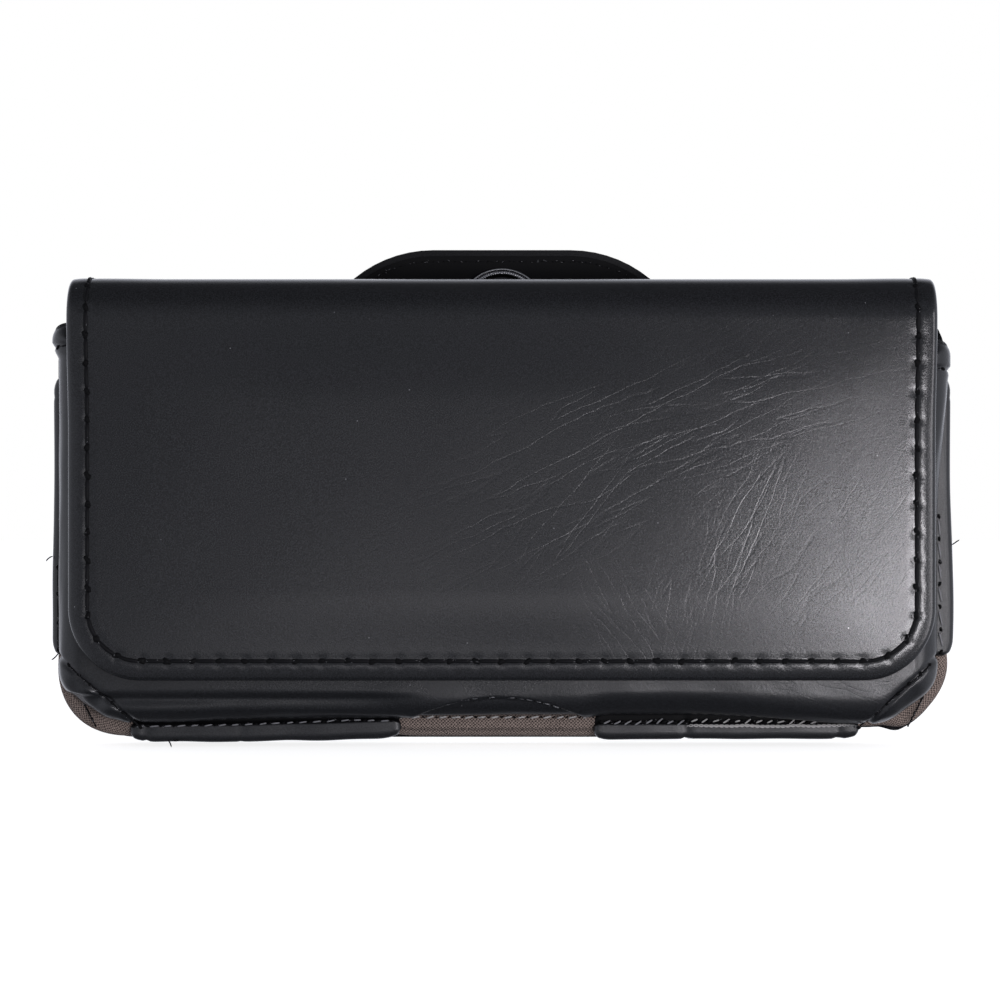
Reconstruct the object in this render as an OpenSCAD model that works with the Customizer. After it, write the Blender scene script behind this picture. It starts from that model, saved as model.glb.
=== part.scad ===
// Horizontal belt holster for a phone: a stiffened front and back joined by a cloth gusset,
// a wide flap held by hidden magnets, and a swivelling spring clip on the back.
// Millimetres. +Z is up, the flap faces -Y, and the origin is under the middle of the part.

/* [Pocket] */
// Clear width of the phone pocket
pocket_w = 172; // [150:1:190]
// Clear depth of the phone pocket, front to back
pocket_d = 14; // [11:0.5:20]
// Height of the front's top edge above the base
mouth_z = 80; // [70:1:92]
// Outer corner radius of the gusset
gusset_r = 14.5; // [12:0.5:15]

/* [Materials] */
// Thickness of the leather
leather_t = 1.2; // [0.9:0.1:1.5]
// Thickness of the stiffening board
board_t = 1.2; // [0.9:0.1:1.6]
// Thickness of the lining cloth
lining_t = 0.8; // [0.5:0.1:1.1]
// Thickness of the gusset cloth
cloth_t = 0.9; // [0.6:0.1:1.2]

/* [Front] */
// How far the front is narrower than the gusset, each side
front_inset = 0.9; // [0.9:0.1:3]
// Height of the front's rolled bottom edge above the base
front_z = 4.2; // [4.1:0.1:8]
// Radius of the front's rolled edge
roll_r = 5; // [3.5:0.25:6]
// Width of the cut-off bottom corner
corner_w = 10; // [8:0.5:24]
// Height of the cut-off bottom corner
corner_h = 6.6; // [5:0.2:14]
// Width of the arched thumb notch
notch_w = 36; // [20:1:44]
// Rise of the arched thumb notch
notch_h = 4.6; // [2:0.2:4.8]

/* [Flap] */
// How far the flap is narrower than the pocket, each side
flap_side = 2.4; // [1.6:0.1:6]
// Height of the flap's lower edge above the base
flap_z = 12.4; // [8:0.2:30]
// Height of the flap's top above the base
top_z = 90.2; // [86:0.2:100]
// Corner radius of the flap
flap_r = 14; // [8:0.5:24]
// Outer radius of the bend at the front of the top
front_bend = 8; // [6:0.5:10]
// Outer radius of the bend at the back of the top
back_bend = 2.4; // [2.2:0.1:2.6]
// Width of the padded rim, edge to seam
rim_w = 4.6; // [4:0.2:7]
// How far the rim swells above the face
rim_rise = 0.5; // [0.2:0.1:1]
// Diameter of the closing magnets
magnet_d = 12; // [8:1:16]
// Distance between the closing magnets
magnet_gap = 96; // [60:2:120]
// Height of the closing magnets above the base
magnet_z = 30; // [26:1:50]

/* [Straps] */
// Length of a side strap
side_strap = 55; // [30:1:58]
// Height of a side strap's lower end above the base
side_strap_z = 16.6; // [16.6:0.2:20]
// Distance from a bottom strap's outer end to the gusset's round corner
base_end = 1.15; // [0.5:0.05:12]
// Gap between the two bottom straps, where the cloth shows
base_gap = 39.5; // [24:0.5:50]

/* [Clip] */
// Height of the swivel's axis above the base
swivel_z = 85; // [80:0.1:85]
// Diameter of the toothed swivel button
button_d = 17.4; // [14:0.2:20]
// Thickness of the swivel button
button_t = 2.2; // [1.6:0.1:3]
// Number of teeth round the button
teeth = 40; // [24:2:48]
// Diameter of the swivel's shank
shank_d = 3.6; // [3:0.1:3.8]
// Height of the plate above the swivel's axis
plate_up = 12.4; // [10:0.2:16]
// Length of the plate below the swivel's axis
plate_down = 49; // [40:1:58]
// Width of the spring steel
spring_w = 26; // [20:1:28]
// Thickness of the spring steel
spring_t = 0.8; // [0.6:0.1:1]
// Room for a belt, at the top of the clip
belt_room = 7; // [6.4:0.2:9]
// Angle at which the arm closes towards its tip
arm_lean = 1.2; // [0:0.1:1.4]
// Length of the covered arm
arm_l = 50; // [40:1:54]
// Width of the covered arm
arm_w = 40; // [34:1:44]

/* [Hidden] */
$fn = 48;
far = 400;
black = [0.10, 0.10, 0.11];
brown = [0.33, 0.27, 0.23];
fibre = [0.55, 0.50, 0.42];
steel = [0.62, 0.63, 0.65];
brass = [0.72, 0.58, 0.30];

// Depths are measured forwards from the middle of the pocket
stack_t = leather_t + board_t + lining_t;
pocket_half = pocket_d / 2;
front_face = pocket_half + stack_t;
back_face = -front_face;
flap_gap = 0.4;
flap_back = front_face + flap_gap;
flap_face = flap_back + stack_t;
crest = flap_face + rim_rise;

// The swivel and the clip, from the back's outer face rearwards
play = 0.25;
facing_t = 0.8;
button_face = back_face - play;
facing_face = button_face - button_t;
stiffener_face = facing_face - facing_t;
skin_face = stiffener_face - spring_t;
bracket_face = skin_face - leather_t;
room_face = bracket_face - spring_t;
arm_steel_face = room_face - belt_room;
arm_skin_face = arm_steel_face - spring_t;
arm_back = arm_skin_face - leather_t;
mid_depth = (crest + arm_back) / 2;

// Outlines as corner lists, from the upper left round the bottom to the upper right
half_w = pocket_w / 2 + cloth_t;
hem_drop = 3;
gusset_z = leather_t;
gusset_top = mouth_z - hem_drop;
gusset_line = [[-half_w, gusset_top], [-half_w, gusset_z], [half_w, gusset_z], [half_w, gusset_top]];
gusset_radii = [0, gusset_r, gusset_r, 0];
front_w = half_w - front_inset;
ear_r = 4;
front_line = [[-front_w, mouth_z], [-front_w, front_z + corner_h], [corner_w - front_w, front_z],
    [front_w - corner_w, front_z], [front_w, front_z + corner_h], [front_w, mouth_z]];
side_r = 7;
foot_r = 9;
front_radii = [ear_r, side_r, foot_r, foot_r, side_r, ear_r];
flap_half = pocket_w / 2 - flap_side;
flap_w = 2 * flap_half;
front_bend_z = top_z - front_bend;
front_bend_d = flap_face - front_bend;
back_bend_z = top_z - back_bend;
back_bend_d = back_face + back_bend;
flap_line = [[-flap_half, front_bend_z], [-flap_half, flap_z], [flap_half, flap_z], [flap_half, front_bend_z]];
flap_radii = [0, flap_r, flap_r, 0];
shoulder_drop = 4;
shoulder_z = mouth_z - shoulder_drop;
back_line = [[-flap_half, back_bend_z], [-half_w, shoulder_z], [-half_w, gusset_z],
    [half_w, gusset_z], [half_w, shoulder_z], [flap_half, back_bend_z]];
back_radii = [0, 6, gusset_r, gusset_r, 6, 0];
arch_r = 25;
arch_x = spring_w / 2 + 0.8 + arch_r * tan(22.5);
arch_drop = 9.2;
plate_foot = 22;
plate_line = [[-arch_x, plate_up], [-arch_x - arch_drop, plate_up - arch_drop], [-plate_foot, -plate_down],
    [plate_foot, -plate_down], [arch_x + arch_drop, plate_up - arch_drop], [arch_x, plate_up]];
hip_r = 4.5;
toe_r = 12;
plate_radii = [arch_r, hip_r, toe_r, toe_r, hip_r, arch_r];
arm_taper = 3;
arm_line = [[-arm_w / 2, -arm_taper], [arm_taper - arm_w / 2, -arm_l], [arm_w / 2 - arm_taper, -arm_l],
    [arm_w / 2, -arm_taper]];
arm_radii = [arm_taper, toe_r, toe_r, arm_taper];

// Geometry of a rounded corner list
steps = 8;
function heading(a, b) = atan2(b[1] - a[1], b[0] - a[0]);
function short_turn(t) = t > 180 ? t - 360 : t < -180 ? t + 360 : t;
function before(p, i) = p[(i + len(p) - 1) % len(p)];
function after(p, i) = p[(i + 1) % len(p)];
function turn(p, i) = short_turn(heading(p[i], after(p, i)) - heading(before(p, i), p[i]));
function trim_at(p, r, i) = r * tan(abs(turn(p, i)) / 2);
function towards(a, b, d) = a + (b - a) * d / norm(b - a);
function around(c, r, a) = c + r * [cos(a), sin(a)];
function corner(p, r, i) = let (h = heading(before(p, i), p[i]), t = turn(p, i),
    c = towards(p[i], before(p, i), trim_at(p, r, i)) + r * [-sin(h), cos(h)])
    [for (k = [0:steps]) around(c, r, h - 90 + t * k / steps)];
function rounded(p, r) = [for (i = [0:len(p) - 1]) each r[i] > 0 ? corner(p, r[i], i) : [p[i]]];
// The same outline d further in, with its two top corners left at their height when open is true
function shrunk(p, d) = [for (i = [0:len(p) - 1]) let (t = turn(p, i), h = heading(before(p, i), p[i]) + t / 2)
    p[i] + d / cos(t / 2) * [-sin(h), cos(h)]];
function lifted(p, d) = [for (i = [0:len(p) - 1]) (i == 0 || i == len(p) - 1) ? p[i] + [0, d] : p[i]];
function less(r, d) = [for (v = r) v > 0 ? max(v - d, 0.3) : 0];
function inset(p, r, d, open) = rounded(shrunk(open ? lifted(p, d) : p, d), less(r, d));

module layer(points, from, thick) translate([0, 0, from]) linear_extrude(thick) polygon(points);
// A closed body through rings of points, one after the other
module skin(rings, caps) {
    n = len(rings[0]);
    top = len(rings) - 1;
    polyhedron([for (ring = rings) each ring], concat(caps,
        [for (k = [0:top - 1]) for (i = [0:n - 1]) [k * n + i, (k + 1) * n + i, (k + 1) * n + (i + 1) % n]],
        [for (k = [0:top - 1]) for (i = [0:n - 1]) [k * n + i, (k + 1) * n + (i + 1) % n, k * n + (i + 1) % n]],
        [for (cap = caps) [for (i = [len(cap) - 1:-1:0]) top * n + cap[i]]]));
}
// A pillow over the outline, through the [inset, depth] points of its edge
module pillow(p, r, edge) skin([for (e = edge) [for (q = inset(p, r, e[0], false)) [q[0], q[1], e[1]]]],
    [[for (i = [0:len(inset(p, r, 0, false)) - 1]) i]]);
// The same with its upper end bent back over the top, as far as the last of the angles
module bent_pillow(p, r, edge, angles) {
    n = len(inset(p, r, 0, true));
    m = len(angles);
    skin([for (e = edge) let (o = inset(p, r, e[0], true), over = [for (a = angles)
        [front_bend_z + (e[1] - front_bend_d) * sin(a), front_bend_d + (e[1] - front_bend_d) * cos(a)]])
        concat([for (q = o) [q[0], q[1], e[1]]], [for (j = [0:m - 1]) [o[n - 1][0], over[j][0], over[j][1]]],
        [for (j = [m - 1:-1:0]) [o[0][0], over[j][0], over[j][1]]])],
        concat([[for (i = [0:n - 1]) i]],
        [for (j = [1:m]) [n - 2 + j, n - 1 + j, n + 2 * m - j, (n + 2 * m + 1 - j) % (n + 2 * m)]]));
}
function roll(radius, face, gap) = [for (a = [0:15:90]) [gap + (radius - gap) * (1 - cos(a)),
    face - radius + (radius - gap) * sin(a)]];

// Pieces are drawn in the front view with the third axis forwards, then stood up
module upright() translate([0, mid_depth, 0]) rotate([90, 0, 0]) children();
// A side view, drawn as [forwards, up], carried across the width
module across(w) rotate([0, -90, 0]) linear_extrude(w, center = true) children();
// Front: a leather pan with rolled edges, over a board and a lining
lip_in = 4.5;
lip = pocket_half - lip_in;
mouth_cut = 8;
module front_cover() color(black) upright() difference() {
    pillow(front_line, front_radii, concat([[0, lip]], roll(roll_r, front_face, 0)));
    pillow(front_line, front_radii, concat([[leather_t, lip - 1]], roll(roll_r, front_face, leather_t)));
    translate([0, front_z + notch_h - notch_r, lip - 1]) cylinder(r = notch_r, h = far, $fn = 160);
    translate([leather_t - front_w, mouth_z - mouth_cut, lip - 1])
        cube([2 * (front_w - leather_t), 2.5 * mouth_cut, lip_in + 1]);
}
notch_r = (pow(notch_w / 2, 2) + pow(notch_h, 2)) / (2 * notch_h);

// The board stops short of the rolled edge, and holds the two keepers
board_in = roll_r + 0.4;
module keeper_spots() for (x = [-1, 1]) translate([x * magnet_gap / 2, magnet_z, 0]) children();
module front_board() color(fibre) upright() difference() {
    layer(inset(front_line, front_radii, board_in, false), pocket_half + lining_t, board_t);
    keeper_spots() cylinder(d = magnet_d, h = far);
}
lining_up = 2.4;
module front_lining() color(brown) upright()
    layer(inset(lifted(front_line, lining_up), front_radii, roll_r + 0.1, false), pocket_half, lining_t);
module front_keepers() color(steel) upright() keeper_spots()
    translate([0, 0, pocket_half + lining_t]) cylinder(d = magnet_d, h = board_t);

// Facing seen through the arched notch
function arc(c, r, from, to) = [for (k = [0:steps]) around(c, r, from + (to - from) * k / steps)];
facing_gap = 0.08;
facing_over = 3;
facing_r = roll_r - leather_t - facing_gap;
facing_c = [front_face - roll_r, front_z + roll_r];
module notch_facing() color(black) upright() across(notch_w + 2 * facing_over) polygon(concat(
    [[lip, facing_c[1] - facing_r]], arc(facing_c, facing_r, -90, 0),
    arc(facing_c, facing_r - facing_t, 0, -90), [[lip, facing_c[1] - facing_r + facing_t]]));

// Gusset: a cloth channel round three sides, turned in behind the front's edge
gusset_back = back_face + leather_t;
module gusset() color(brown) upright() difference() {
    layer(rounded(gusset_line, gusset_radii), gusset_back, lip - gusset_back);
    layer(inset(gusset_line, gusset_radii, cloth_t, true), gusset_back - 1, lip - gusset_back + 1 - cloth_t);
    layer(inset(lifted(front_line, 10), front_radii, leather_t, false), gusset_back - 1, far);
}

// Straps over the gusset, turned over its front edge and over the back
strap_front = lip + leather_t;
strap_back = back_face - leather_t;
strap_lip = 1.9;
base_lip = 3.8;
end_r = 0.9;
function strap_face(low, high, from, to, r) = rounded([[low, to], [low, from], [high, from], [high, to]],
    [r, r, r, r]);
module strap(length, side_lip) {
    rotate([90, 0, 0]) mirror([0, 0, 1]) linear_extrude(leather_t)
        polygon(strap_face(0, length, strap_back, strap_front, end_r));
    for (d = [lip, strap_back]) layer(strap_face(0, length, 0, side_lip, end_r), d, leather_t);
}
module side_strap(side) color(black) upright() mirror([side < 0 ? 1 : 0, 0, 0])
    translate([half_w + leather_t, side_strap_z, 0]) rotate(90) strap(side_strap, strap_lip);
module side_strap_left() side_strap(-1);
module side_strap_right() side_strap(1);
module base_strap(side) color(black) upright() mirror([side < 0 ? 1 : 0, 0, 0])
    translate([base_gap / 2, 0, 0]) strap(half_w - gusset_r - base_end - base_gap / 2, base_lip);
module base_strap_left() base_strap(-1);
module base_strap_right() base_strap(1);

// Back: cover, board and lining, with the eyelet the clip swivels in
eyelet_t = 0.5;
eyelet_d = shank_d + 0.12 + 2 * eyelet_t;
head_d = 5.5;
fold = 45;
crack = 0.3;
back_crack = asin(crack / 2 / back_bend);
front_crack = asin(crack / 2 / front_bend);
module at_swivel() translate([0, swivel_z, 0]) children();
module back_cover() color(black) upright() {
    difference() {
        layer(rounded(back_line, back_radii), back_face, leather_t);
        at_swivel() translate([0, 0, -far / 2]) cylinder(d = eyelet_d, h = far);
    }
    across(flap_w) polygon(concat(arc([back_bend_d, back_bend_z], back_bend, 180, 180 - fold + back_crack),
        arc([back_bend_d, back_bend_z], back_bend - leather_t, 180 - fold + back_crack, 180)));
}
board_back = -pocket_half - lining_t - board_t;
module back_board() color(fibre) upright() difference() {
    layer(inset(back_line, back_radii, cloth_t + 0.3, false), board_back, board_t);
    at_swivel() translate([0, 0, -far / 2]) cylinder(d = head_d + 0.3, h = far);
    translate([-far / 2, back_bend_z - 0.2, -far / 2]) cube(far);
}
module back_lining() color(brown) upright() intersection() {
    layer(inset(back_line, back_radii, cloth_t, false), -pocket_half - lining_t, lining_t);
    translate([-far / 2, back_bend_z - 0.2 - far, -far / 2]) cube(far);
}
flange_t = 0.25;
module swivel_eyelet() color(brass) upright() at_swivel() translate([0, 0, back_face]) difference() {
    union() {
        cylinder(d = eyelet_d, h = leather_t + flange_t);
        translate([0, 0, leather_t]) cylinder(d = head_d, h = flange_t);
    }
    translate([0, 0, -1]) cylinder(d = shank_d + 0.12, h = far);
}

// The flap's edge: turned over the board, swelling into a padded rim
rim_edge = [[0, flap_back], [0, flap_face - 1.1], [0.25, flap_face - 0.45], [0.8, flap_face + 0.1],
    [1.6, crest - 0.1], [2.3, crest]];
rim_dip = [[rim_w, flap_face], [rim_w - 0.9, flap_face + rim_rise * 0.4], [2.5, crest], [2.5, crest + 0.1]];
core_in = leather_t + 0.3;
function sweep(from, to, n) = [for (k = [1:n]) from + (to - from) * k / n];
flap_turn = sweep(0, fold - front_crack, 5);
module flap_cover() color(black) upright() difference() {
    bent_pillow(flap_line, flap_radii, rim_edge, flap_turn);
    bent_pillow(flap_line, flap_radii, rim_dip, concat(flap_turn, [fold + 1]));
    bent_pillow(flap_line, flap_radii, [[core_in, flap_back - 0.5], [core_in, flap_face - leather_t]],
        concat(flap_turn, [fold + 1]));
}
strip_t = leather_t + lining_t;
module flap_board() color(fibre) upright() difference() {
    layer(inset(flap_line, flap_radii, core_in, false), flap_back + lining_t, board_t);
    keeper_spots() cylinder(d = magnet_d, h = far);
}
module flap_lining() color(brown) upright() {
    layer(inset(flap_line, flap_radii, core_in, true), flap_back, lining_t);
}
module flap_magnets() color(steel) upright() keeper_spots()
    translate([0, 0, flap_back + lining_t]) cylinder(d = magnet_d, h = board_t);

// The top strip, from the middle of one bend to the middle of the other, in layers between two heights
strip_end = 180 - fold - back_crack;
function over_top(t) = concat(arc([front_bend_d, front_bend_z], front_bend + t, fold + front_crack, 90),
    arc([back_bend_d, back_bend_z], back_bend + t, 90, strip_end));
function back_over(t) = concat(arc([back_bend_d, back_bend_z], back_bend + t, strip_end, 90),
    arc([front_bend_d, front_bend_z], front_bend + t, 90, fold + front_crack));
module strip_layer(low, high, from, to) translate([flap_half - (from + to) / 2, 0, 0]) across(to - from)
    polygon(concat(over_top(high), back_over(low)));
rim_steps = 4;
rim_step = rim_rise / rim_steps;
module top_cover() color(black) upright() {
    strip_layer(-leather_t, 0, 0, flap_w);
    for (side = [0, 1]) mirror([side, 0, 0]) {
        strip_layer(-strip_t, -leather_t, 0, core_in);
        for (k = [1:rim_steps]) strip_layer((k - 1) * rim_step, k * rim_step, 0.8 + 0.4 * k, rim_w - 0.5 * k);
    }
}
module top_lining() color(brown) upright() across(flap_w - 2 * core_in)
    translate([back_bend_d, top_z - strip_t]) square([front_bend_d - back_bend_d, lining_t]);

// Clip: a leather plate over a steel stiffener, on a toothed button that swivels
plate_in = leather_t;
module clip_plate() color(black) upright() at_swivel() difference() {
    layer(rounded(plate_line, plate_radii), bracket_face, facing_face - bracket_face);
    layer(inset(plate_line, plate_radii, plate_in, false), skin_face, far);
    holes();
}
module holes() {
    translate([0, 0, -far / 2]) cylinder(d = shank_d, h = far);
    rivet_spots() translate([0, 0, -far / 2]) cylinder(d = rivet_d, h = far);
}
rivet_d = 3;
rivet_down = 16;
rivet_gap = 14;
rivet_head = 5;
rivet_head_t = 0.5;
module rivet_spots() for (side = [-1, 1]) translate([side * rivet_gap / 2, -rivet_down, 0]) children();
module clip_facing() color(black) upright() at_swivel() difference() {
    layer(inset(plate_line, plate_radii, plate_in, false), stiffener_face, facing_t);
    translate([0, 0, -far / 2]) cylinder(d = shank_d, h = far);
}
module clip_stiffener() color(steel) upright() at_swivel() difference() {
    layer(inset(plate_line, plate_radii, plate_in + 1.5, false), skin_face, spring_t);
    holes();
}
tooth = 360 / teeth;
button_r = button_d / 2;
module swivel_button() color(steel) upright() at_swivel() translate([0, 0, facing_face]) difference() {
    union() {
        cylinder(r = button_r, h = button_t * 0.36);
        linear_extrude(button_t * 0.72) polygon([for (i = [0:teeth - 1]) each [
            around([0, 0], button_r - 0.15, (i - 0.25) * tooth), around([0, 0], button_r - 0.15, (i + 0.1) * tooth),
            around([0, 0], button_r - 0.6, (i + 0.25) * tooth), around([0, 0], button_r - 0.6, (i + 0.6) * tooth)]]);
        cylinder(r = button_r - 1.4, h = button_t);
    }
    translate([0, 0, button_t * 0.6]) difference() {
        cylinder(r = button_r - 2.3, h = far);
        translate([0, 0, -1]) cylinder(r = button_r - 3.4, h = far);
    }
    translate([0, 0, -1]) cylinder(d = shank_d, h = far);
}
head_t = 0.75;
module swivel_rivet() color(steel) upright() at_swivel() {
    translate([0, 0, skin_face]) cylinder(d = shank_d, h = -pocket_half - lining_t - 0.1 - skin_face);
    translate([0, 0, -pocket_half - lining_t - 0.1 - head_t]) cylinder(d = head_d, h = head_t);
}

// The spring: a steel bracket riveted to the plate, bent over at the top into the arm
bend_r = belt_room / 2 + spring_t;
bend_z = plate_up - bend_r - 0.3;
bend_d = room_face - belt_room / 2;
bend_crack = asin(crack / 2 / bend_r);
bracket_l = 36;
module clip_bracket() color(steel) upright() at_swivel() difference() {
    across(spring_w) polygon(concat([[bracket_face, bend_z - bracket_l]],
        arc([bend_d, bend_z], bend_r, 0, 90 - bend_crack),
        arc([bend_d, bend_z], bend_r - spring_t, 90 - bend_crack, 0), [[room_face, bend_z - bracket_l]]));
    holes();
}
module clip_rivets() color(steel) upright() at_swivel() rivet_spots() {
    translate([0, 0, room_face]) cylinder(d = rivet_d, h = stiffener_face - room_face);
    translate([0, 0, room_face - rivet_head_t]) cylinder(d = rivet_head, h = rivet_head_t);
}
module leaned() translate([0, bend_z, bend_d]) rotate([-arm_lean, 0, 0]) translate([0, -bend_z, -bend_d]) children();
module arm_spring() color(steel) upright() at_swivel() leaned() across(spring_w) polygon(concat(
    arc([bend_d, bend_z], bend_r, 90 + bend_crack, 180), [[arm_skin_face, bend_z - arm_l + 8]],
    [[arm_steel_face, bend_z - arm_l + 8]], arc([bend_d, bend_z], bend_r - spring_t, 180, 90 + bend_crack)));
arm_top = bend_z - 3;
function arm_outline(d) = [for (q = inset(arm_line, arm_radii, d, false)) q + [0, bend_z]];
module arm_cover() color(black) upright() at_swivel() leaned() difference() {
    layer(arm_outline(0), arm_back, arm_steel_face + facing_t - arm_back);
    layer(arm_outline(leather_t), arm_skin_face, far);
    translate([-spring_w / 2, 0, arm_skin_face]) cube([spring_w, far, far]);
}
module arm_lining() color(brown) upright() at_swivel() leaned() difference() {
    layer(arm_outline(leather_t), arm_skin_face, spring_t + facing_t);
    translate([-spring_w / 2, bend_z - arm_l + 8, arm_skin_face - 1]) cube([spring_w, far, spring_t + 1]);
    translate([-spring_w / 2, bend_z - 6, arm_skin_face - 1]) cube([spring_w, far, far]);
}

front_cover();
front_board();
front_lining();
front_keepers();
notch_facing();
gusset();
side_strap_left();
side_strap_right();
base_strap_left();
base_strap_right();
back_cover();
back_board();
back_lining();
swivel_eyelet();
top_cover();
top_lining();
flap_cover();
flap_board();
flap_lining();
flap_magnets();
clip_plate();
clip_facing();
clip_stiffener();
swivel_button();
swivel_rivet();
clip_bracket();
clip_rivets();
arm_spring();
arm_cover();
arm_lining();
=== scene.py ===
"""Looks of the phone belt holster: leather, cloth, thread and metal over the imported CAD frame."""

import math

import bpy
import numpy as np
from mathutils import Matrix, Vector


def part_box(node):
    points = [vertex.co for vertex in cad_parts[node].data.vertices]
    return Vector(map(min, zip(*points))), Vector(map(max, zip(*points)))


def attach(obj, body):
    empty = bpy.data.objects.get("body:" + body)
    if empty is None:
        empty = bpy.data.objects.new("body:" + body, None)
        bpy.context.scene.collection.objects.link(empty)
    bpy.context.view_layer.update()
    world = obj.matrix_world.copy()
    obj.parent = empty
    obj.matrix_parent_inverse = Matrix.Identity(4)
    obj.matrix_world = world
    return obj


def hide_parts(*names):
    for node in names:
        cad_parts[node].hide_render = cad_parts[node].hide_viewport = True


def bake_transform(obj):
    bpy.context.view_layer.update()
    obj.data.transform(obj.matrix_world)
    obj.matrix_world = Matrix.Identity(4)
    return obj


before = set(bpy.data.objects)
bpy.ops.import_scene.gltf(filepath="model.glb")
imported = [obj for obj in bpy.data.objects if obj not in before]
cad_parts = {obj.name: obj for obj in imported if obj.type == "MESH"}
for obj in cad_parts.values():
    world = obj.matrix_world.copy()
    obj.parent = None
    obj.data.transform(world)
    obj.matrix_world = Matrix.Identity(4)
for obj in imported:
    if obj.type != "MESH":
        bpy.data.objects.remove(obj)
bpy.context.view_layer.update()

MM = 0.001


def span(node):
    """Lowest and highest corner of a CAD node, in millimetres."""
    low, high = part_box(node)
    return [v / MM for v in low], [v / MM for v in high]


# Sizes read from the frame, in millimetres; depth is measured forwards from the pocket's middle
FRONT_LINING = span("front_lining")
BACK_LINING = span("back_lining")
POCKET_Y = (FRONT_LINING[1][1] + BACK_LINING[0][1]) / 2
POCKET_HALF = POCKET_Y - FRONT_LINING[1][1]
FLAP = span("flap_cover")
FLAP_HALF = FLAP[1][0]
FLAP_Z = FLAP[0][2]
RIM_RISE = 0.5
FLAP_FACE = POCKET_Y - FLAP[0][1] - RIM_RISE
FLAP_BACK = POCKET_Y - span("flap_lining")[1][1]
TOP_Z = span("top_cover")[1][2] - RIM_RISE
BACK_FACE = POCKET_Y - span("back_cover")[1][1]
FRONT = span("front_cover")
FRONT_HALF = FRONT[1][0]
FRONT_FACE = POCKET_Y - FRONT[0][1]
GUSSET = span("gusset")
BUTTON = span("swivel_button")
SWIVEL_Z = (BUTTON[0][2] + BUTTON[1][2]) / 2

# Sizes that repeat the part's source, in millimetres
FRONT_BEND = 8.0
BACK_BEND = 2.4
FLAP_R = 14.0
FRONT_CORNER_W = 10.0
FRONT_CORNER_H = 6.6
FRONT_ROLL = 5.0
EAR_R = 3.0
NOTCH_W = 34.0
NOTCH_H = 4.5
NOTCH_X = -0.8
GUSSET_R = 14.5
SHOULDER_Z = 76.0
LIP = POCKET_HALF - 4.5
SEAM = 3.8
rng = np.random.default_rng(7)


def place(x, depth, z):
    """Row-frame points, in metres, from across, forwards and up in millimetres."""
    x, depth, z = np.broadcast_arrays(x, depth, z)
    return np.stack([x, POCKET_Y - depth, z], axis=-1) * MM


def smooth(t):
    """A soft step from 0 to 1."""
    t = np.clip(t, 0, 1)
    return t * t * (3 - 2 * t)


def waves(u, v, sizes, seed):
    """A sum of gentle waves of the given wavelengths, from -1 to 1 or so."""
    random = np.random.default_rng(seed)
    total = 0
    for size in sizes:
        for _ in range(3):
            angle, phase = random.uniform(0, math.pi), random.uniform(0, 2 * math.pi)
            total = total + np.sin(2 * math.pi / size * (u * math.cos(angle) + v * math.sin(angle)) + phase)
    return total / (2 * len(sizes))


def peak(t):
    """A bell of height 1 round zero."""
    return np.exp(-(t**2))


def run_length(points):
    """Length along a line of points, from 0 at its start."""
    return np.concatenate([[0], np.cumsum(np.linalg.norm(np.diff(points, axis=0), axis=1))])


def mesh_object(name, points, faces, uvs=None, materials=()):
    """A smooth-shaded mesh object; uvs are per point, in millimetres."""
    mesh = bpy.data.meshes.new(name)
    mesh.from_pydata([tuple(p) for p in points], [], faces)
    mesh.update()
    if uvs is not None:
        layer = mesh.uv_layers.new(name="UVMap")
        index = np.empty(len(mesh.loops), dtype=np.int32)
        mesh.loops.foreach_get("vertex_index", index)
        layer.data.foreach_set("uv", np.asarray(uvs, dtype=np.float32)[index].ravel())
    mesh.polygons.foreach_set("use_smooth", [True] * len(mesh.polygons))
    for material in materials:
        mesh.materials.append(material)
    obj = bpy.data.objects.new(name, mesh)
    bpy.context.scene.collection.objects.link(obj)
    return obj


def grid_faces(rows, columns, start=0, closed=False, flip=False):
    """Quads of a grid of points stored row by row."""
    faces = []
    last = columns if closed else columns - 1
    for r in range(rows - 1):
        for c in range(last):
            a, b = start + r * columns + c, start + r * columns + (c + 1) % columns
            quad = (a, b, b + columns, a + columns)
            faces.append(quad[::-1] if flip else quad)
    return faces


def outline(corners, radii, step):
    """Points and inward normals round a convex outline with rounded corners, one every step or so."""
    corners = np.array(corners, float)
    into = corners - np.roll(corners, 1, axis=0)
    into /= np.linalg.norm(into, axis=1)[:, None]
    out = np.roll(into, -1, axis=0)
    turns = np.arctan2(into[:, 0] * out[:, 1] - into[:, 1] * out[:, 0], (into * out).sum(axis=1))
    trims = np.array(radii) * np.tan(np.abs(turns) / 2)
    points, normals = [], []
    for i, radius in enumerate(radii):
        left = np.array([-into[i, 1], into[i, 0]])
        centre = corners[i] - into[i] * trims[i] + left * radius
        steps = max(3, int(abs(turns[i]) * max(radius, 2) / step))
        for angle in turns[i] * np.arange(steps + 1) / steps:
            spoke = -left * math.cos(angle) + into[i] * math.sin(angle)
            points.append(centre + spoke * radius)
            normals.append(-spoke)
        start, after = points[-1], (i + 1) % len(corners)
        end = corners[after] - out[i] * trims[after]
        steps = max(1, int(np.linalg.norm(end - start) / step))
        for k in range(1, steps):
            points.append(start + (end - start) * k / steps)
            normals.append(np.array([-out[i, 1], out[i, 0]]))
    return np.array(points), np.array(normals)


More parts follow.
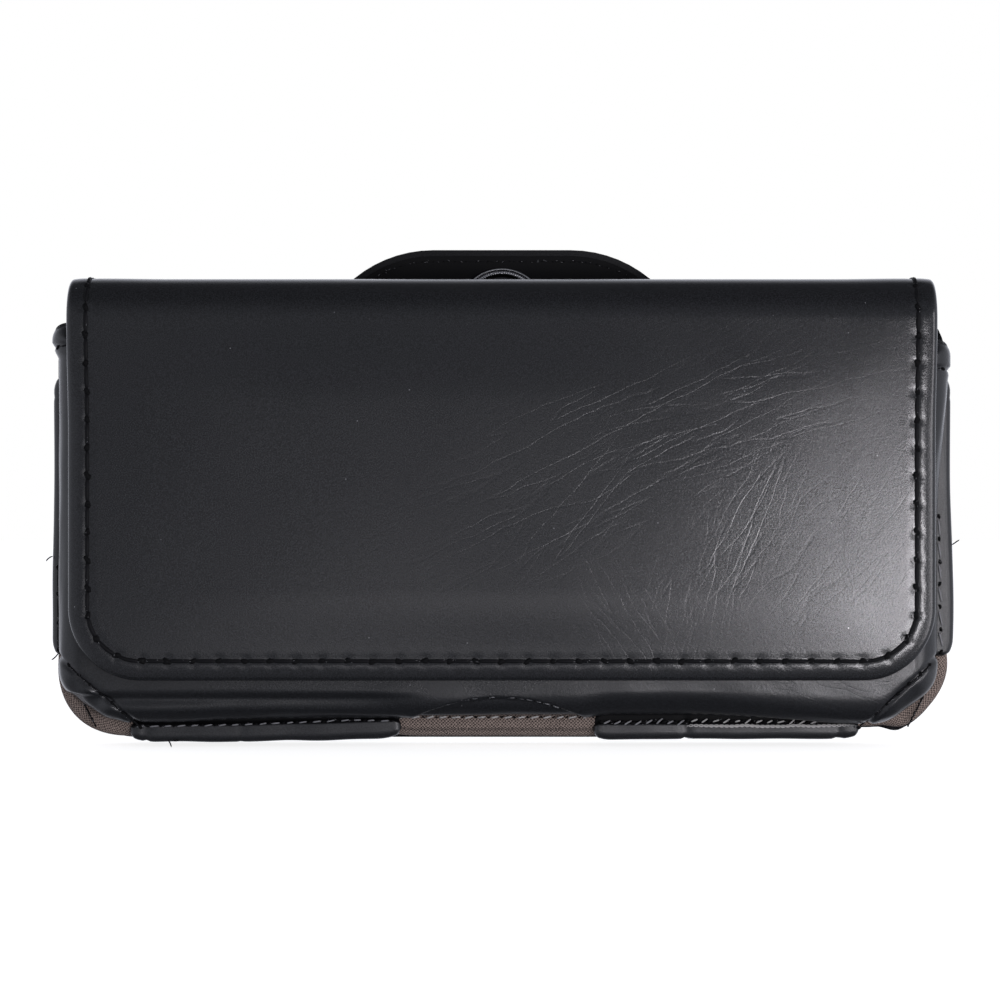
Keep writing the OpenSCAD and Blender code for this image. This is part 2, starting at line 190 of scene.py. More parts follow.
def tube_mesh(name, runs, radius, material, sides=7):
    """One mesh of round threads; each run is a list of points in metres, with rounded ends."""
    points, faces = [], []
    for run in runs:
        run = np.asarray(run)
        tangent = np.gradient(run, axis=0)
        tangent /= np.linalg.norm(tangent, axis=1)[:, None] + 1e-12
        up = np.array([0.13, 0.21, 0.97])
        side = np.cross(tangent, up)
        side /= np.linalg.norm(side, axis=1)[:, None] + 1e-12
        other = np.cross(tangent, side)
        start = len(points)
        for k, p in enumerate(run):
            t = k / (len(run) - 1)
            r = radius * math.sqrt(max(0.04, 1 - (2 * t - 1) ** 6))
            for j in range(sides):
                a = 2 * math.pi * j / sides
                points.append(p + (side[k] * math.cos(a) + other[k] * math.sin(a)) * r * MM)
        faces += grid_faces(len(run), sides, start, closed=True)
        faces.append(tuple(start + j for j in range(sides))[::-1])
        faces.append(tuple(start + (len(run) - 1) * sides + j for j in range(sides)))
    return mesh_object(name, points, faces, None, [material])


def along_path(path, outward, s):
    """Point, outward, forward and sideways direction at length s along a path."""
    length = run_length(path) / MM
    at = [np.array([np.interp(s + d, length, path[:, k]) for k in range(3)]) for d in (-0.25, 0, 0.25)]
    n = np.array([np.interp(s, length, outward[:, k]) for k in range(3)])
    n /= np.linalg.norm(n)
    along = (at[2] - at[0]) / (np.linalg.norm(at[2] - at[0]) + 1e-12)
    return at[1], n, along, np.cross(n, along)


def sew(name, path, outward, pitch, material, radius, lift=0.0, gap=0.5, skew=0.0, knot=0.0, fix="pouch",
        holes=None):
    """A row of stitches along a path of points: thread arches and, with knot, lumps at the holes, painted
    near-black as the shade inside the holes.
    """
    path, outward = np.asarray(path), np.broadcast_to(np.asarray(outward, float), np.shape(path))
    if holes is None:
        total = run_length(path)[-1] / MM
        holes = np.linspace(0, total, max(1, int(round(total / pitch))) + 1)
    runs, lumps, glints = [], [], []
    for a, b in zip(holes[:-1], holes[1:]):
        short = 0.5 * gap * rng.uniform(0.7, 1.5, 2)
        lean = skew * rng.uniform(0.4, 1.5)
        run = []
        for t in np.linspace(0, 1, 9):
            p, n, along, across = along_path(path, outward, a + short[0] + (b - a - short.sum()) * t)
            arch = math.sin(math.pi * t) ** 0.5
            run.append(p + MM * (n * (lift * arch - radius * (1 - arch)) + across * lean * (t - 0.5)))
        runs.append(run)
    for s in holes if knot else ():
        p, n, along, across = along_path(path, outward, s)
        for size in (1.0, 0.6):
            lean, reach = rng.uniform(-0.7, 0.7), size * knot * rng.uniform(0.9, 1.3)
            at = p + MM * (n * rng.uniform(-0.05, 0.08)
                           + (1 - size) * knot * rng.uniform(-1, 1) * (along + across))
            lumps.append([at + MM * (reach * t * (along + across * lean) - n * 0.3 * t * t)
                          for t in np.linspace(-1, 1, 6)])
        # Short pale flecks on the thread beside the holes: painted glints of the black thread's sheen
        for _ in range(rng.integers(0, 4)):
            at = p + MM * (along * rng.uniform(-2, 2) + across * rng.uniform(-0.25, 0.25) + n * radius)
            to = MM * (along * rng.uniform(-0.25, 0.25) + across * rng.uniform(-0.12, 0.12))
            glints.append([at - to, at, at + to])
    objects = [tube_mesh(name, runs, radius, material)]
    if lumps:
        # The knot lumps get the near-black painted-shade material
        objects.append(tube_mesh(name + "_knots_shaded", lumps, knot * 0.62, KNOT_HOLE_SHADE))
    if glints:
        objects.append(tube_mesh(name + "_glints", glints, 0.05, THREAD_SHEEN_GREY, 5))
    for obj in objects:
        if isinstance(fix, str):
            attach(obj, fix)
        else:
            fix(obj)


def settled(cloud, path, lift=0.0, step=0.4):
    """A path of (x, z) in millimetres, laid on the front of a cloud of surface points."""
    path = np.array(path, float)
    length = run_length(path)
    at = np.linspace(0, length[-1], max(3, int(length[-1] / step)))
    result = []
    for x, z in zip(np.interp(at, length, path[:, 0]), np.interp(at, length, path[:, 1])):
        gap = np.hypot(cloud[:, 0] / MM - x, cloud[:, 2] / MM - z)
        near = np.argpartition(gap, 6)[:6]
        weight = 1 / (gap[near] + 0.05)
        result.append((x * MM, (cloud[near, 1] * weight).sum() / weight.sum() - lift * MM, z * MM))
    return np.array(result)


# Materials


def nodes_of(name):
    """A new material with its node tree and its Principled shader."""
    material = bpy.data.materials.new(name)
    material.use_nodes = True
    tree = material.node_tree
    return material, tree, tree.nodes["Principled BSDF"]


def fill(tree, node, **values):
    """Set a node's properties and inputs by name; an input takes a value or a socket to link."""
    for key, value in values.items():
        if hasattr(node, key):
            setattr(node, key, value)
        elif hasattr(value, "is_output"):
            tree.links.new(value, node.inputs[key.replace("_", " ")])
        else:
            node.inputs[key.replace("_", " ")].default_value = value
    return node


def add(tree, kind, **values):
    """A new shader node, filled in."""
    return fill(tree, tree.nodes.new(kind), **values)


def noise(tree, vector, scale, detail, roughness=0.5, **more):
    """A noise texture over the given coordinates."""
    return add(tree, "ShaderNodeTexNoise", Vector=vector, Scale=scale, Detail=detail, Roughness=roughness,
               **more)


def ramp(tree, source, low, high, out_low=0.0, out_high=1.0):
    """A value mapped from low..high to out_low..out_high, clamped."""
    node = add(tree, "ShaderNodeMapRange", Value=source, From_Min=low, From_Max=high, To_Min=out_low,
               To_Max=out_high)
    return node.outputs["Result"]


def math_node(tree, operation, a, b):
    """A two-input maths node; each input is a socket or a number."""
    node = tree.nodes.new("ShaderNodeMath")
    node.operation = operation
    for socket, value in zip(node.inputs, (a, b)):
        if hasattr(value, "is_output"):
            tree.links.new(value, socket)
        else:
            socket.default_value = value
    return node.outputs[0]


def bump(tree, height, distance, normal=None):
    """A bump of that depth in metres, on top of another where normal is given."""
    node = add(tree, "ShaderNodeBump", Strength=1.0, Distance=distance, Height=height)
    if normal is not None:
        fill(tree, node, Normal=normal)
    return node.outputs["Normal"]


def shifted(tree, coordinates, texture, reach):
    """Coordinates moved about by a texture's colour, up to reach along each axis."""
    node = add(tree, "ShaderNodeVectorMath", operation="MULTIPLY_ADD")
    tree.links.new(texture.outputs["Color"], node.inputs[0])
    node.inputs[1].default_value = reach
    tree.links.new(coordinates, node.inputs[2])
    return node.outputs[0]


def mix_shaders(tree, share, first, second, output):
    """Two shaders mixed by share, on the surface of the named output node."""
    node = tree.nodes.new("ShaderNodeMixShader")
    for source, socket in zip((share, first, second), node.inputs):
        tree.links.new(source, socket)
    tree.links.new(node.outputs[0], tree.nodes[output].inputs["Surface"])


def crease_lines(tree, coordinates, angle, along, across, centre, size):
    """Thin, nearly parallel crease lines at an angle to the base, inside a soft round patch."""
    turn = (0, math.radians(-angle), 0)
    stretched = add(tree, "ShaderNodeMapping", vector_type="TEXTURE", Vector=coordinates, Rotation=turn,
                    Location=(centre[0] * 3, 0, centre[1] * 5), Scale=(1 / along, 1 / along, 1 / across))
    lines = noise(tree, stretched.outputs[0], 1.0, 1.5).outputs["Fac"]
    middle = math_node(tree, "ABSOLUTE", math_node(tree, "SUBTRACT", lines, 0.5), 0)
    patch = add(tree, "ShaderNodeMapping", vector_type="TEXTURE", Vector=coordinates, Rotation=turn,
                Location=(centre[0] * MM, 0, centre[1] * MM), Scale=(size[0] * MM, 1, size[1] * MM))
    spot = add(tree, "ShaderNodeTexGradient", gradient_type="SPHERICAL", Vector=patch.outputs[0])
    return math_node(tree, "MULTIPLY", ramp(tree, middle, 0.0, 0.022, 1.0, 0.0),
                     ramp(tree, spot.outputs["Fac"], 0.05, 0.6))


DUST = (0.16, 0.16, 0.17, 1)

# Each set of creases: angle in degrees, stretch along and across per metre, middle (x, z) and reach in mm
CREASES = ((27, 30, 300, (20, 56), (64, 26)), (14, 30, 300, (48, 65), (44, 15)),
           (50, 30, 360, (64, 37), (34, 18)), (76, 45, 400, (38, 30), (22, 12)),
           (62, 45, 360, (48, 43), (24, 12)), (-58, 45, 380, (24, 26), (22, 11)),
           (-15, 60, 420, (66, 11), (26, 9)), (48, 40, 360, (13, 45), (26, 12)))


def leather(name, colour, roughness, creases, grain=1.0, slow=1.0, specular=0.5):
    """Black coated leather: fine grain, sets of hairline creases, slow swells and a little dust."""
    material, tree, shader = nodes_of(name)
    coordinates = tree.nodes.new("ShaderNodeTexCoord").outputs["Object"]
    folds = noise(tree, coordinates, 30.0, 2.0, Distortion=0.4).outputs["Fac"]
    normal = bump(tree, folds, 0.00006 * slow)
    wiggly = shifted(tree, coordinates, noise(tree, coordinates, 160.0, 1.0), (0.0016, 0.0016, 0.0016))
    height = None
    for values in CREASES:
        lines = crease_lines(tree, wiggly, *values)
        height = lines if height is None else math_node(tree, "ADD", height, lines)
    normal = bump(tree, math_node(tree, "MULTIPLY", height, -1.0), 0.000011 * creases, normal)
    for scale, depth in ((900.0, 0.00001), (2600.0, 0.00002)):
        normal = bump(tree, noise(tree, coordinates, scale, 3.0, 0.7).outputs["Fac"], depth * grain, normal)
    specks = add(tree, "ShaderNodeTexVoronoi", feature="F1", Vector=coordinates, Scale=900.0)
    near = ramp(tree, specks.outputs["Distance"], 0.08, 0.14, 1.0, 0.0)
    chosen = add(tree, "ShaderNodeSeparateColor", Color=specks.outputs["Color"])
    dust = math_node(tree, "MULTIPLY", near, ramp(tree, chosen.outputs["Red"], 0.988, 0.990))
    pores = noise(tree, coordinates, 3800.0, 1.0, 0.6).outputs["Fac"]
    tone = add(tree, "ShaderNodeMix", data_type="RGBA", Factor=ramp(tree, pores, 0.36, 0.64),
               A=(*(0.55 * c for c in colour), 1), B=(*(1.5 * c for c in colour), 1))
    dusty = add(tree, "ShaderNodeMix", data_type="RGBA", Factor=dust, A=tone.outputs["Result"], B=DUST)
    shine = ramp(tree, folds, 0.3, 0.7, roughness - 0.02, roughness + 0.03)
    fill(tree, shader, Base_Color=dusty.outputs["Result"], Roughness=shine, Normal=normal,
         Specular_IOR_Level=specular)
    return material


def woven(name, light, dark, pitch, depth):
    """Plain weave in the surface's own millimetres."""
    material, tree, shader = nodes_of(name)
    uv = tree.nodes.new("ShaderNodeTexCoord").outputs["UV"]
    moved = shifted(tree, uv, noise(tree, uv, 1.3, 2.0), (0.5, 0.5, 0))
    split = add(tree, "ShaderNodeSeparateXYZ", Vector=moved)
    turns = [math_node(tree, "MULTIPLY", split.outputs[k], 2 * math.pi / pitch) for k in (0, 1)]
    weave = math_node(tree, "MULTIPLY", *[math_node(tree, "SINE", turn, 0) for turn in turns])
    fuzz = noise(tree, uv, 5.0, 4.0, 0.75).outputs["Fac"]
    height = math_node(tree, "ADD", ramp(tree, weave, -0.8, 0.8), math_node(tree, "MULTIPLY", fuzz, 0.8))
    # Colour follows the weave's height: darker in its hollows as painted shade between the threads, with
    # random tone from the fuzz
    mix = add(tree, "ShaderNodeMix", data_type="RGBA", Factor=ramp(tree, height, 0.45, 1.2), A=(*dark, 1),
              B=(*light, 1))
    fill(tree, shader, Base_Color=mix.outputs["Result"], Normal=bump(tree, height, depth * MM), Roughness=0.85,
         Specular_IOR_Level=0.25)
    return material


def plain(name, colour, roughness, metallic=0.0, specular=0.5):
    """An even finish."""
    material, tree, shader = nodes_of(name)
    fill(tree, shader, Base_Color=(*colour, 1), Roughness=roughness, Metallic=metallic,
         Specular_IOR_Level=specular)
    return material


LEATHER = leather("leather_flap", (0.0105, 0.011, 0.0125), 0.20, 0.75)
LEATHER_SMOOTH = leather("leather_smooth", (0.009, 0.0095, 0.011), 0.27, 1.0, 1.7, 0.9)
LEATHER_STRAP = leather("leather_strap", (0.011, 0.0115, 0.013), 0.36, 0.8, 1.5, 1.6)
# Clip leather painted near-black with little shine: painted shade of the clip sitting behind the pouch
LEATHER_CLIP_SHADED = leather("leather_clip_shaded", (0.004, 0.004, 0.005), 0.36, 0.4, specular=0.2)
CLOTH = woven("gusset_weave", (0.33, 0.26, 0.225), (0.035, 0.027, 0.023), 0.66, 0.14)
LINING = plain("lining_cloth", (0.035, 0.032, 0.031), 0.8)
THREAD = plain("thread", (0.006, 0.006, 0.007), 0.6, specular=0.12)
# Glossy black thread painted white and pale grey where it shows bright: the light colour is painted sheen
THREAD_SHEEN_WHITE = plain("thread_sheen_white", (0.40, 0.39, 0.38), 0.6)
THREAD_SHEEN_GREY = plain("thread_sheen_grey", (0.19, 0.19, 0.2), 0.5)
# Near-black dull knots: painted shade of the stitch holes, darker than the thread itself
KNOT_HOLE_SHADE = plain("knot", (0.002, 0.002, 0.0025), 0.75, specular=0.15)
# Near-black dull leather: painted shade, put on the clip's facing and on the straps' recessed band under the
# front panel
SHADE_BLACK = plain("leather_painted_shade", (0.003, 0.003, 0.0035), 0.6, specular=0.12)
GUNMETAL = plain("gunmetal", (0.05, 0.05, 0.055), 0.3, 1.0)
STEEL = plain("spring_steel", (0.45, 0.45, 0.46), 0.32, 1.0)
NICKEL_HIGHLIGHT = plain("nickel", (0.42, 0.42, 0.43), 0.25, 1.0)
BRASS = plain("brass", (0.70, 0.52, 0.25), 0.3, 1.0)

# The cover's developed length: up the front, over the two folds and down the back
BEND_Z = TOP_Z - FRONT_BEND
BEND_D = FLAP_FACE - FRONT_BEND
BACK_D = BACK_FACE + BACK_BEND
BACK_Z = TOP_Z - BACK_BEND
S1 = BEND_Z + FRONT_BEND * math.pi / 2
S2 = S1 + BEND_D - BACK_D
S3 = S2 + BACK_BEND * math.pi / 2
S_MID = (S1 + S2) / 2
LOW_RUN = FLAP_HALF - FLAP_R + math.pi / 2 * (FLAP_R - SEAM)
SEAM_RUN = LOW_RUN + S_MID - FLAP_Z - FLAP_R
LOW_PITCH, PITCH = 4.95, 5.4


def over(x, s, h):
    """Row-frame points of the cover at developed length s, raised by h above its face."""
    x, s, h = np.broadcast_arrays(np.asarray(x, float), np.asarray(s, float), np.asarray(h, float))
    x = x * (1 + 0.004 * smooth((s - 60) / 22))  # a little wider towards the top
    a = np.clip((s - BEND_Z) / FRONT_BEND, 0, math.pi / 2)
    depth = BEND_D + (FRONT_BEND + h) * np.cos(a)
    z = np.minimum(s, BEND_Z) + (FRONT_BEND + h) * np.sin(a)
    b = np.clip((s - S2) / BACK_BEND, 0, math.pi / 2)
    top = s > S1
    depth = np.where(top, BEND_D - (np.clip(s, S1, S2) - S1) - (BACK_BEND + h) * np.sin(b), depth)
    z = np.where(top, BACK_Z + (BACK_BEND + h) * np.cos(b), z)
    z = np.where(s > S3, BACK_Z - (s - S3), z)
    return place(x, depth, z)


def flap_edge(x, s):
    """Distance in from the flap's edge, and distance along its seam from the middle of the bottom."""
    side, foot = FLAP_HALF - np.abs(x), s - FLAP_Z
    corner = (side < FLAP_R) & (foot < FLAP_R)
    inner = np.hypot(FLAP_R - side, FLAP_R - foot)
    distance = np.where(corner, FLAP_R - inner, np.minimum(side, foot))
    angle = np.arctan2(FLAP_R - side, np.maximum(FLAP_R - foot, 1e-6))
    run = FLAP_HALF - FLAP_R
    seam_r = FLAP_R - SEAM
    along = np.where(corner, run + angle * seam_r,
                     np.where(side < foot, run + math.pi / 2 * seam_r + foot - FLAP_R, np.abs(x)))
    return distance, along


def stitch_number(along):
    """Stitches from the middle of the flap's lower edge, closer along the bottom than up the sides."""
    return np.minimum(along, LOW_RUN) / LOW_PITCH + np.maximum(along - LOW_RUN, 0) / PITCH


RIM_LOW = -1.5  # height at the very edge, where the leather turns under


def flap_height(x, s):
    """Height of the flap's leather above its face: padded rim, sunk seam, puckers and slow waves."""
    distance, along = flap_edge(x, s)
    fall = 0.18 + 0.17 * smooth((BEND_Z - 4 - s) / 20)
    slope = 0.2 - fall * np.clip((3.2 - distance) / 2.5, 0, 1) ** 2
    edge = np.clip((0.7 - distance) / 0.74, 0, 1)
    height = slope - 0.2 * edge - 0.95 * (1 - np.sqrt(1 - edge**2))
    groove = 0.2 + 0.10 * smooth((distance - 3.0) / (SEAM - 3.0))
    height = np.where(distance > 3.0, 0.4 - groove, height)
    height = np.where(distance > SEAM, 0.10 + 0.06 * smooth((distance - SEAM) / 1.8), height)
    height = height - 0.12 * smooth((distance - 7) / 12)
    to_hole = np.abs((stitch_number(along) + 0.5) % 1 - 0.5) * PITCH
    pucker = peak(to_hole / 0.5)
    height = height - 0.12 * pucker * peak((distance - SEAM + 0.7) / 0.8)
    height = height - 0.12 * pucker * peak((distance - SEAM - 0.5) / 0.8)
    slow = waves(x, s, (140, 75, 38), 3)
    bow = 0.7 * (1 - (x / FLAP_HALF) ** 2) - 0.7
    return height + (0.12 * slow + bow + 0.7) * smooth((distance - SEAM) / 14) * smooth((BEND_Z + 4 - s) / 20)


def half_columns(half):
    """Positions across from the middle to one edge, dense at the edge."""
    edge = half - 1.9 * (1 - np.cos(np.linspace(math.pi / 2, 0, 8)))
    seam = np.arange(half - 6.5, half - 1.95, 0.32)
    return np.concatenate([np.arange(0, half - 6.6, 0.85), seam, edge])


def columns(half):
    """Positions across from edge to edge, as shares of the half width."""
    right = half_columns(half)
    return np.concatenate([-right[:0:-1], right]) / half


def rounded_foot(low, radius):
    """Developed lengths up from the foot of a rounded sheet, and how far each is narrower than the sheet."""
    angles = np.radians(np.arange(0, 90.1, 2.0))
    return low + radius * (1 - np.cos(angles)), radius * (1 - np.sin(angles))


def cover(name, s, inset, half, height, wrap, material):
    """The leather over developed lengths s, narrowed by inset on each side, with its edges carried under."""
    shares = columns(half)
    x = shares[None, :] * (half - inset)[:, None]
    rows = np.broadcast_to(s[:, None], x.shape)
    n_rows, n_cols = x.shape
    faces = grid_faces(n_rows, n_cols)
    points = [over(x, rows, height(x, rows)).reshape(-1, 3)]
    uvs = [np.stack([x, rows], axis=-1).reshape(-1, 2)]
    left = [r * n_cols for r in range(n_rows - 1, -1, -1)]
    right = [r * n_cols + n_cols - 1 for r in range(n_rows)]
    border = left + list(range(1, n_cols - 1)) + right
    bx, bs = x.ravel()[border], rows.ravel()[border]
    tx, ts = np.gradient(bx), np.gradient(bs)
    norm = np.hypot(tx, ts) + 1e-9
    nx, ns = -ts / norm, tx / norm
    turn = 2 * smooth((bs - S3) / 8) - 1 if s[0] > s[-1] else 1
    thin = smooth((bs - S1) / (S_MID - S1)) * (bs < S_MID + 0.01)
    previous, count = border, x.size
    for inset_k, height_k in wrap:
        low = height_k + thin * (max(height_k, -1.2) - height_k)
        under_x, under_s = bx + nx * inset_k * turn, bs + ns * inset_k * turn
        points.append(over(under_x, under_s, low))
        uvs.append(np.stack([under_x, under_s], axis=-1))
        current = list(range(count, count + len(border)))
        faces += zip(previous, current, current[1:], previous[1:])
        previous = current
        count += len(border)
    obj = mesh_object(name, np.concatenate(points), faces, np.concatenate(uvs), [material])
    return obj


def build_flap():
    """The front flap and the front half of the top strip."""
    foot_s, foot_in = rounded_foot(FLAP_Z, FLAP_R)
    rest = np.concatenate([np.arange(FLAP_Z + FLAP_R + 0.8, BEND_Z, 0.8), np.linspace(BEND_Z, S1, 26),
                           np.linspace(S1, S_MID, 9)[1:]])
    s = np.concatenate([foot_s, rest])
    inset = np.concatenate([foot_in, np.zeros(len(rest))])
    wrap = [(0.05, RIM_LOW - 0.4), (0.35, RIM_LOW - 1.0), (0.9, RIM_LOW - 1.45), (1.7, RIM_LOW - 1.6)]
    flap = cover("flap_leather", s, inset, FLAP_HALF, flap_height, wrap, LEATHER)
    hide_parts("flap_cover", "top_cover")
    blend_flap(flap)


BACK_LOW = span("back_cover")[0][2]
BACK_HALF = span("back_cover")[1][0]


def back_height(x, s):
    """Height of the leather behind the middle of the strip: its rim flattens out below the back fold."""
    on_strip = 1 - smooth((s - S3) / 6)
    rim = flap_height(x, np.full_like(s, BEND_Z))
    return on_strip * rim + (1 - on_strip) * (-0.05 + 0.0125 * waves(x, s, (90, 40), 11))


def build_back():
    """The back half of the top strip, the back fold and the back panel."""
    s_shoulder = S3 + BACK_Z - SHOULDER_Z
    s_end = S3 + BACK_Z - BACK_LOW
    angles = np.radians(np.arange(0, 90.1, 3.0))
    foot_s = s_end - GUSSET_R * (1 - np.cos(angles))
    foot_half = BACK_HALF - GUSSET_R * (1 - np.sin(angles))
    s = np.concatenate([np.linspace(S_MID, S2, 9), np.linspace(S2, S3, 9)[1:],
                        np.arange(S3 + 1, s_end - GUSSET_R, 1.5)])
    half = FLAP_HALF + (BACK_HALF - FLAP_HALF) * smooth((s - S3) / (s_shoulder - S3))
    s = np.concatenate([s, foot_s[::-1]])
    half = np.concatenate([half, foot_half[::-1]])
    order = np.argsort(-s)
    back = cover("back_leather", s[order], (BACK_HALF - half)[order], BACK_HALF, back_height,
                 [(0.3, -0.9), (1.3, -1.2)], LEATHER)
    back.data.flip_normals()
    for vertex in back.data.vertices:
        vertex.co.z += 1.2 * MM * float(corner_dent(vertex.co.x / MM, vertex.co.z / MM))
    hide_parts("back_cover")
    blend_back(back)


def build_fold_linings():
    """The lining over the two folds, between the lining's plates."""
    low, high = span("top_lining")
    half = high[0] - 0.2
    inner = (FLAP_BACK - FLAP_FACE, low[2] - TOP_Z, BACK_FACE - POCKET_Y + BACK_LINING[0][1])
    rows, across = 60, 40
    for name, first, last, bend in (("front", BEND_Z - 6, S_MID, blend_flap),
                                    ("back", S_MID, S3 + 4, blend_back)):
        s = np.linspace(first, last, rows)
        h = np.interp(s, (BEND_Z, S1, S2, S3), (inner[0], inner[1], inner[1], inner[2]))
        h = np.maximum(h, 0.3 - BACK_BEND) if name == "back" else h
        x = np.linspace(-half, half, across)
        points = over(x[None, :], s[:, None], h[:, None] + 0.1).reshape(-1, 3)
        obj = mesh_object("fold_lining_" + name, points, grid_faces(rows, across, flip=True), None, [LINING])
        bend(obj)


# Front panel: rolled edges, stitched hem with round ears, gathered lower corners and the arched notch
FRONT_TOP = FRONT[1][2]
FRONT_LOW = FRONT[0][2]
FRONT_CORNERS = [(-FRONT_HALF, FRONT_TOP), (-FRONT_HALF, FRONT_LOW + FRONT_CORNER_H),
                 (FRONT_CORNER_W - FRONT_HALF, FRONT_LOW), (FRONT_HALF - FRONT_CORNER_W, FRONT_LOW),
                 (FRONT_HALF, FRONT_LOW + FRONT_CORNER_H), (FRONT_HALF, FRONT_TOP)]
FRONT_RADII = [EAR_R, 7, 9, 9, 7, EAR_R]
NOTCH_R = ((NOTCH_W / 2) ** 2 + NOTCH_H**2) / (2 * NOTCH_H)
NOTCH_CENTRE = FRONT_LOW + NOTCH_H - NOTCH_R
CORNER_SEAM = np.array([(86.6, 17.4), (84.0, 15.2), (81.6, 13.0), (78.9, 10.7), (76.5, 8.6), (74.0, 6.6),
                        (70.6, 3.6)])


def hem_seam(x):
    """Height of the hem's stitches, a little lower on the right and at both ends."""
    return FRONT_TOP - 4.6 - 0.026 * x - 0.5 * np.clip(np.abs(x) - 85.3, 0, 4)


def foot_rise(x, z):
    """How far the front's lower edge is drawn up, most beside the notch."""
    far = np.abs(x)
    rise = 1.3 * smooth((66 - far) / 36) - 0.7 * smooth((far - 52) / 18) * smooth((76 - far) / 5)
    rise = rise * (0.5 + 0.5 * smooth((x + 10) / 20))
    return rise * (0.25 + 0.75 * smooth((far - 14) / 8)) * smooth((14 - z) / 8)


def beside(points, line):
    """Distance from each (x, z) point to a line of corners."""
    best = np.full(len(points), 1e9)
    for a, b in zip(line[:-1], line[1:]):
        t = np.clip(((points - a) @ (b - a)) / ((b - a) @ (b - a)), 0, 1)
        best = np.minimum(best, np.linalg.norm(points - a - t[:, None] * (b - a), axis=1))
    return best


def corner_dent(x, z):
    """How far the cloth and the back are drawn up between the right base strap and the corner."""
    return 1.6 * smooth((x - 68.5) / 2) * smooth((79.5 - x) / 5) * smooth((12 - z) / 7)


def front_relief(x, z, above_seam, length, depth, flat):
    """How far the front's leather stands out of its plain form: waves, hem, gathers and notch."""
    far = np.abs(x)
    on_hem = smooth(above_seam / 0.8)
    ripple = 0.13 * waves(length, np.full_like(length, depth * 4), (60, 23, 11), 5) * (1 - on_hem)
    ripple = ripple * smooth((FRONT_TOP - 8 - z) / 8) * (1 - smooth(flat / 4))
    low_wave = 0.15 * waves(x, z, (75, 40), 21) * smooth((14 - z) / 6)
    final = z + foot_rise(x, z)
    ledge = 0.8 * smooth((8.6 - final) / 2.6) - 0.8 * smooth((10.2 - final) / 1.6)
    low_wave = low_wave + ledge * smooth((-12 - x) / 16)
    hem = 0.38 * peak(above_seam / 0.45) - 0.3 * on_hem
    corner = 0.5 * peak(beside(np.stack([far, z], axis=-1), CORNER_SEAM) / 0.45)
    outside = (far - CORNER_SEAM[3, 0]) * 0.70 - (z - CORNER_SEAM[3, 1]) * 0.72
    tuck = smooth((outside + 0.3) / 0.8) * smooth((far - 68) / 4) * smooth((18 - z) / 4)
    tuck = tuck * (0.22 + 0.2 * waves(x, z, (9, 5), 4))
    sunk = smooth((NOTCH_R - np.hypot(x - NOTCH_X, z - NOTCH_CENTRE)) / 0.5 + 0.3)
    sunk = np.where((far < NOTCH_W / 2 + 1) & (z < FRONT_LOW + NOTCH_H + 1), sunk, 0)
    relief = (ripple + low_wave) * smooth((depth - LIP - 1) / 3) - hem - corner + tuck - 0.8 * sunk
    return relief * (1 - smooth((flat - 3) / 9))


